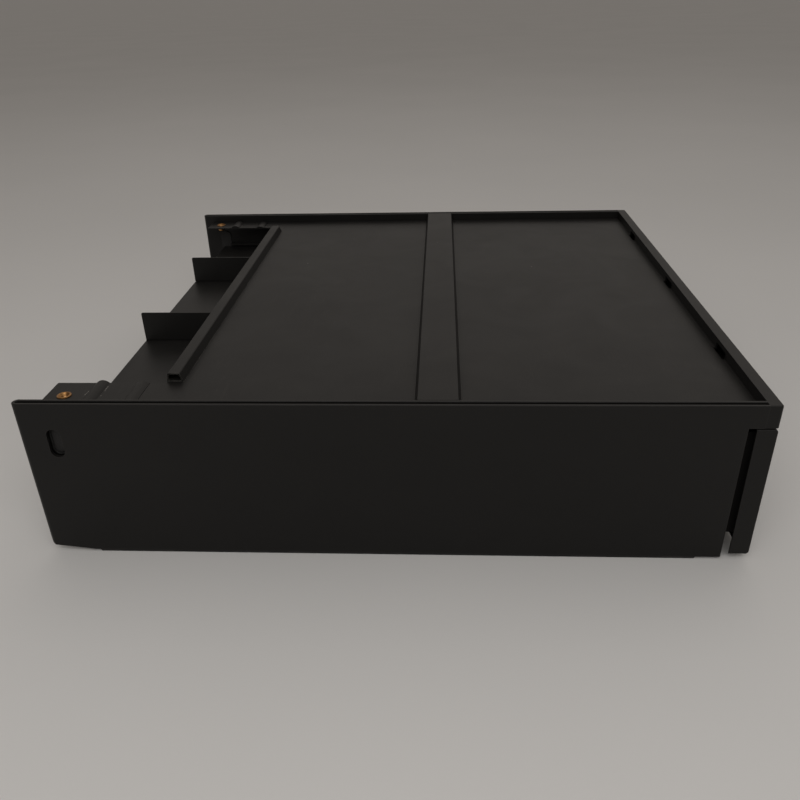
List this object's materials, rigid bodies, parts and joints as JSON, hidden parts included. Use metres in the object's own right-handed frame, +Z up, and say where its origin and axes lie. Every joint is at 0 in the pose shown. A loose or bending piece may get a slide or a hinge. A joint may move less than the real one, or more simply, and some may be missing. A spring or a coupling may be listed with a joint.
{
  "type": "desktop file sorter",
  "caption": "Low sheet-steel desktop file sorter with a recessed top, a pull-out tray of upright dividers at one end and a drawer at the other.",
  "frame": {"origin": "centre of the footprint, on the surface the foot strips rest on", "axes": "+X towards the drawer end, -Y towards the left side panel and +Y towards the right one, +Z up"},
  "size_m": [0.4544, 0.432, 0.112],
  "materials": {
    "black_powder_coat": "satin black powder coat, faintly warm, fine texture",
    "rubber": "matte black rubber",
    "nylon": "natural nylon",
    "plug_plastic": "dull dark grey plastic",
    "yellow_zinc": "yellow-passivated zinc plating",
    "zinc_steel": "bright zinc plating",
    "rivet_black": "black-coated rivet heads"
  },
  "bodies": {
    "housing": {"base_panel": "black_powder_coat", "channel_screws": "zinc_steel", "closing_buffers": "rubber", "edge_lip": "black_powder_coat", "end_rail": "black_powder_coat", "fixed_slippers": "nylon", "left_corner_bracket": "black_powder_coat", "left_fixed_channel": "black_powder_coat", "left_foot_strip": "rubber", "left_side_panel": "black_powder_coat", "left_tray_runner": "black_powder_coat", "right_corner_bracket": "black_powder_coat", "right_fixed_channel": "black_powder_coat", "right_foot_strip": "rubber", "right_side_panel": "black_powder_coat", "right_tray_runner": "black_powder_coat", "rivet_nuts": "yellow_zinc", "slot_plugs": "plug_plastic", "top_panel": "black_powder_coat", "top_stiffener": "black_powder_coat"},
    "drawer": {"drawer_body": "black_powder_coat", "drawer_back": "black_powder_coat", "drawer_inner_front": "black_powder_coat", "front_panel": "black_powder_coat", "front_brackets": "black_powder_coat", "front_screws": "zinc_steel", "left_drawer_rail": "black_powder_coat", "right_drawer_rail": "black_powder_coat", "moving_slippers": "nylon", "rail_rivets": "rivet_black", "back_rivets": "rivet_black"},
    "sorter_tray": {"tray_floor": "black_powder_coat", "front_divider": "black_powder_coat", "rear_divider": "black_powder_coat", "divider_rivets": "rivet_black", "tray_glides": "nylon"}
  },
  "joints": [
    {"name": "drawer_slide", "type": "slide", "parent": "housing", "child": "drawer", "axis": [1, 0, 0], "range_m": [0, 0.3]},
    {"name": "tray_slide", "type": "slide", "parent": "housing", "child": "sorter_tray", "axis": [-1, 0, 0], "range_m": [0, 0.2]}
  ]
}
